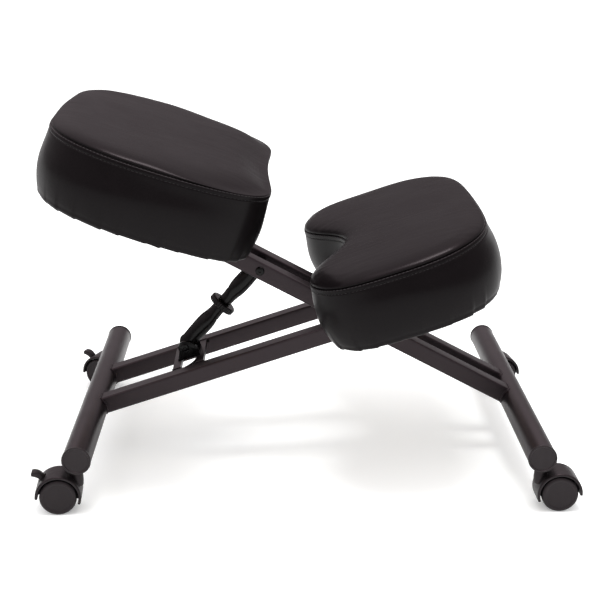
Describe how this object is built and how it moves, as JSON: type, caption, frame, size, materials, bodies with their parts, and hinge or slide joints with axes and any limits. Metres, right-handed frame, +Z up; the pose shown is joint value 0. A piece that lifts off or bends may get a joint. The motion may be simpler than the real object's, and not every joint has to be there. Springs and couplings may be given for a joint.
{
  "type": "kneeling chair",
  "caption": "Ergonomic kneeling chair: seat and notched knee cushion on two crossing tube frames with casters and a hand-turned angle screw.",
  "frame": {"origin": "centre of the footprint on the floor, under the middle of the bounding box", "axes": "+X from the seat towards the knee cushion, +Y along the crossbars, +Z up"},
  "size_m": [0.7462, 0.504, 0.5174],
  "materials": {
    "black_paint": "satin",
    "black_leatherette": "satin",
    "black_plastic": "matte",
    "black_steel": "satin",
    "zinc_plate": "satin",
    "plywood": "matte"
  },
  "bodies": {
    "outer_frame": {"seat_side_crossbar": "black_paint", "seat_side_near_end_cap": "black_plastic", "seat_side_far_end_cap": "black_plastic", "outer_rail_near": "black_paint", "outer_rail_far": "black_paint", "adjuster_bracket": "black_paint", "lower_pivot_pin": "black_steel", "main_pivot_bolt": "zinc_plate", "main_pivot_nut": "zinc_plate", "rail_washer_near": "black_plastic", "rail_washer_far": "black_plastic", "pivot_sleeve": "zinc_plate", "knee_rear_strap": "black_paint", "knee_front_strap": "black_paint", "knee_rear_screw_near": "zinc_plate", "knee_rear_screw_far": "zinc_plate", "knee_front_screw_near": "zinc_plate", "knee_front_screw_far": "zinc_plate", "knee_board": "plywood", "knee_cushion": "black_leatherette", "seat_near_caster_stem": "zinc_plate", "seat_far_caster_stem": "zinc_plate"},
    "inner_frame": {"knee_side_crossbar": "black_paint", "knee_side_near_end_cap": "black_plastic", "knee_side_far_end_cap": "black_plastic", "inner_rail_near": "black_paint", "inner_rail_far": "black_paint", "upper_pivot_pin": "black_steel", "seat_rear_strap": "black_paint", "seat_front_channel": "black_paint", "seat_rear_screw_near": "zinc_plate", "seat_rear_screw_far": "zinc_plate", "seat_front_screw_near": "zinc_plate", "seat_front_screw_far": "zinc_plate", "seat_board": "plywood", "seat_cushion": "black_leatherette", "knee_near_caster_stem": "zinc_plate", "knee_far_caster_stem": "zinc_plate"},
    "lower_yoke": {"adjuster_lower_yoke": "black_steel"},
    "stud": {"adjuster_stud": "zinc_plate"},
    "knob": {"adjuster_knob": "black_steel"},
    "upper_yoke": {"adjuster_upper_yoke": "black_steel"},
    "seat_near_hood": {"seat_near_caster_hood": "black_plastic", "seat_near_caster_axle": "zinc_plate"},
    "seat_near_left_wheel": {"seat_near_caster_left_wheel": "black_plastic"},
    "seat_near_right_wheel": {"seat_near_caster_right_wheel": "black_plastic"},
    "seat_far_hood": {"seat_far_caster_hood": "black_plastic", "seat_far_caster_axle": "zinc_plate"},
    "seat_far_left_wheel": {"seat_far_caster_left_wheel": "black_plastic"},
    "seat_far_right_wheel": {"seat_far_caster_right_wheel": "black_plastic"},
    "knee_near_hood": {"knee_near_caster_hood": "black_plastic", "knee_near_caster_axle": "zinc_plate"},
    "knee_near_left_wheel": {"knee_near_caster_left_wheel": "black_plastic"},
    "knee_near_right_wheel": {"knee_near_caster_right_wheel": "black_plastic"},
    "knee_far_hood": {"knee_far_caster_hood": "black_plastic", "knee_far_caster_axle": "zinc_plate"},
    "knee_far_left_wheel": {"knee_far_caster_left_wheel": "black_plastic"},
    "knee_far_right_wheel": {"knee_far_caster_right_wheel": "black_plastic"},
    "seat_near_lever": {"seat_near_brake_lever": "black_plastic"},
    "seat_far_lever": {"seat_far_brake_lever": "black_plastic"}
  },
  "joints": [
    {"name": "main_pivot", "type": "hinge", "parent": "outer_frame", "child": "inner_frame", "pos_m": [0.0713, -0.00704, 0.20917], "axis": [0, 1, 0], "range_deg": [0, 18]},
    {"name": "lower_screw_pivot", "type": "hinge", "parent": "outer_frame", "child": "lower_yoke", "pos_m": [-0.17919, -0.00704, 0.15719], "axis": [0, -1, 0], "range_deg": [0, 1.6]},
    {"name": "screw_extension", "type": "slide", "parent": "lower_yoke", "child": "stud", "axis": [0.6664, 0, 0.7456], "range_m": [0, 0.0246]},
    {"name": "knob_turn", "type": "hinge", "parent": "stud", "child": "knob", "pos_m": [-0.12304, -0.00704, 0.22001], "axis": [0.6664, 0, 0.7456], "continuous": true},
    {"name": "upper_screw_pivot", "type": "hinge", "parent": "inner_frame", "child": "upper_yoke", "pos_m": [-0.06689, -0.00704, 0.28283], "axis": [0, -1, 0], "range_deg": [0, 19.7]},
    {"name": "seat_near_swivel", "type": "hinge", "parent": "outer_frame", "child": "seat_near_hood", "pos_m": [-0.31301, -0.22754, 0], "axis": [0, 0, 1], "continuous": true},
    {"name": "seat_near_left_roll", "type": "hinge", "parent": "seat_near_hood", "child": "seat_near_left_wheel", "pos_m": [-0.33795, -0.22929, 0.025], "axis": [0.0698, -0.9976, 0], "continuous": true},
    {"name": "seat_near_right_roll", "type": "hinge", "parent": "seat_near_hood", "child": "seat_near_right_wheel", "pos_m": [-0.33795, -0.22929, 0.025], "axis": [0.0698, -0.9976, 0], "continuous": true},
    {"name": "seat_far_swivel", "type": "hinge", "parent": "outer_frame", "child": "seat_far_hood", "pos_m": [-0.31301, 0.21346, 0], "axis": [0, 0, 1], "continuous": true},
    {"name": "seat_far_left_roll", "type": "hinge", "parent": "seat_far_hood", "child": "seat_far_left_wheel", "pos_m": [-0.33619, 0.22282, 0.025], "axis": [-0.3746, -0.9272, 0], "continuous": true},
    {"name": "seat_far_right_roll", "type": "hinge", "parent": "seat_far_hood", "child": "seat_far_right_wheel", "pos_m": [-0.33619, 0.22282, 0.025], "axis": [-0.3746, -0.9272, 0], "continuous": true},
    {"name": "knee_near_swivel", "type": "hinge", "parent": "inner_frame", "child": "knee_near_hood", "pos_m": [0.31499, -0.22754, 0], "axis": [0, 0, 1], "continuous": true},
    {"name": "knee_near_left_roll", "type": "hinge", "parent": "knee_near_hood", "child": "knee_near_left_wheel", "pos_m": [0.33999, -0.22754, 0.025], "axis": [0, 1, 0], "continuous": true},
    {"name": "knee_near_right_roll", "type": "hinge", "parent": "knee_near_hood", "child": "knee_near_right_wheel", "pos_m": [0.33999, -0.22754, 0.025], "axis": [0, 1, 0], "continuous": true},
    {"name": "knee_far_swivel", "type": "hinge", "parent": "inner_frame", "child": "knee_far_hood", "pos_m": [0.31499, 0.21346, 0], "axis": [0, 0, 1], "continuous": true},
    {"name": "knee_far_left_roll", "type": "hinge", "parent": "knee_far_hood", "child": "knee_far_left_wheel", "pos_m": [0.33975, 0.21693, 0.025], "axis": [-0.1392, 0.9903, 0], "continuous": true},
    {"name": "knee_far_right_roll", "type": "hinge", "parent": "knee_far_hood", "child": "knee_far_right_wheel", "pos_m": [0.33975, 0.21693, 0.025], "axis": [-0.1392, 0.9903, 0], "continuous": true},
    {"name": "seat_near_brake", "type": "hinge", "parent": "seat_near_hood", "child": "seat_near_lever", "pos_m": [-0.35819, -0.2307, 0.046], "axis": [0.0698, -0.9976, 0], "range_deg": [0, 10]},
    {"name": "seat_far_brake", "type": "hinge", "parent": "seat_far_hood", "child": "seat_far_lever", "pos_m": [-0.355, 0.23042, 0.046], "axis": [-0.3746, -0.9272, 0], "range_deg": [0, 10]}
  ],
  "couplings": [
    {"joint": "lower_screw_pivot", "follows": "main_pivot", "ratio": 0.0816},
    {"joint": "upper_screw_pivot", "follows": "main_pivot", "ratio": 1.0816},
    {"joint": "screw_extension", "follows": "main_pivot", "m_per_rad": 0.0776},
    {"joint": "knob_turn", "follows": "main_pivot", "ratio": 243.8}
  ]
}
